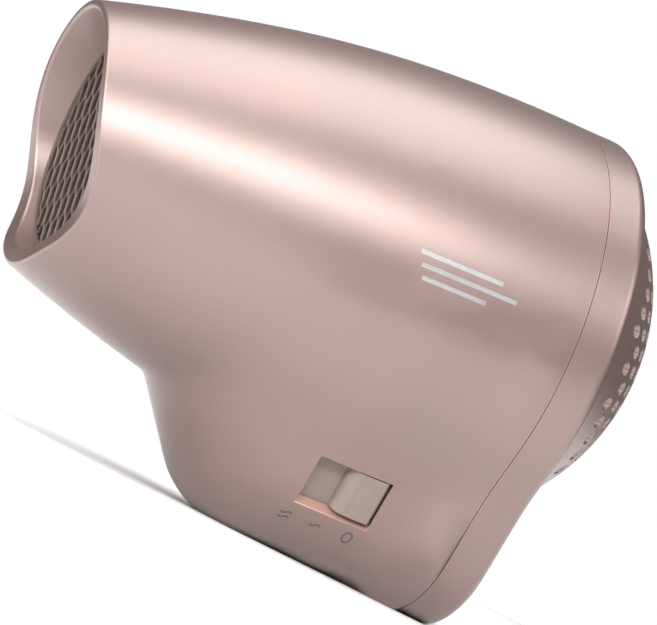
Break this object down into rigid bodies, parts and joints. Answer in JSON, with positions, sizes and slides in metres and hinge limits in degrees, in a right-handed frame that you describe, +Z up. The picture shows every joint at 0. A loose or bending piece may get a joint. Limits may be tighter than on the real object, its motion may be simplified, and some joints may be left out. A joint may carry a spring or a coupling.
{
  "type": "hair dryer",
  "caption": "Compact hair dryer with a tapered barrel, S-cut outlet with corrugated grille, perforated rear cover and a short switch stub with a flat base.",
  "frame": {"origin": "centre of the bounding box, on the plane the base stands on", "axes": "+Z up, -X towards the air outlet, -Y towards the slide switch; the barrel axis points 5.1 degrees below -X"},
  "size_m": [0.1379, 0.0884, 0.1082],
  "materials": {
    "aluminium": "satin",
    "black_plastic": "matt",
    "black_rubber": "matt",
    "brass": "satin",
    "brown_ceramic": "glazed",
    "grille_metal": "warm tinted satin",
    "heating_wire": "oxidised",
    "knob_plastic": "satin",
    "lead_sheath": "matt silicone",
    "magnet": "matt sintered",
    "mica": "matt mica sheet",
    "shell_paint": "satin pearl",
    "steel": "satin",
    "white_plastic": "matt heat resistant"
  },
  "bodies": {
    "dryer": {"air_cone": "white_plastic", "cord_inlet_bush": "black_rubber", "cover_screw": "steel", "fan_duct": "white_plastic", "fixed_contacts": "brass", "front_housing": "shell_paint", "heat_shield_tube": "mica", "heater_board_horizontal": "mica", "heater_board_vertical": "mica", "heater_coil_low": "heating_wire", "heater_coil_main": "heating_wire", "heater_lead": "lead_sheath", "intake_filter": "black_plastic", "mains_lead": "lead_sheath", "motor_brushes": "magnet", "motor_can": "steel", "motor_end_cap": "black_plastic", "motor_magnets": "magnet", "motor_terminals": "brass", "noise_capacitor": "brown_ceramic", "outlet_grille_ring": "grille_metal", "outlet_grille_strips": "grille_metal", "rear_cover": "shell_paint", "rectifier_board": "mica", "rectifier_diodes": "black_plastic", "shaft_bearing_front": "brass", "shaft_bearing_rear": "brass", "switch_case": "black_plastic", "switch_screws": "steel", "thermal_fuse": "aluminium", "thermostat": "aluminium"},
    "rotor": {"motor_shaft": "steel", "rotor_core": "steel", "commutator": "brass", "impeller": "black_plastic"},
    "switch_slider": {"switch_knob": "knob_plastic", "switch_carriage": "white_plastic", "bridge_contact": "brass"}
  },
  "joints": [
    {"name": "fan_spin", "type": "hinge", "parent": "dryer", "child": "rotor", "pos_m": [0.01918, 0, 0.06192], "axis": [0.996, 0, 0.0889], "continuous": true},
    {"name": "switch_slide", "type": "slide", "parent": "dryer", "child": "switch_slider", "axis": [-0.996, 0, -0.0889], "range_m": [0, 0.007]}
  ]
}
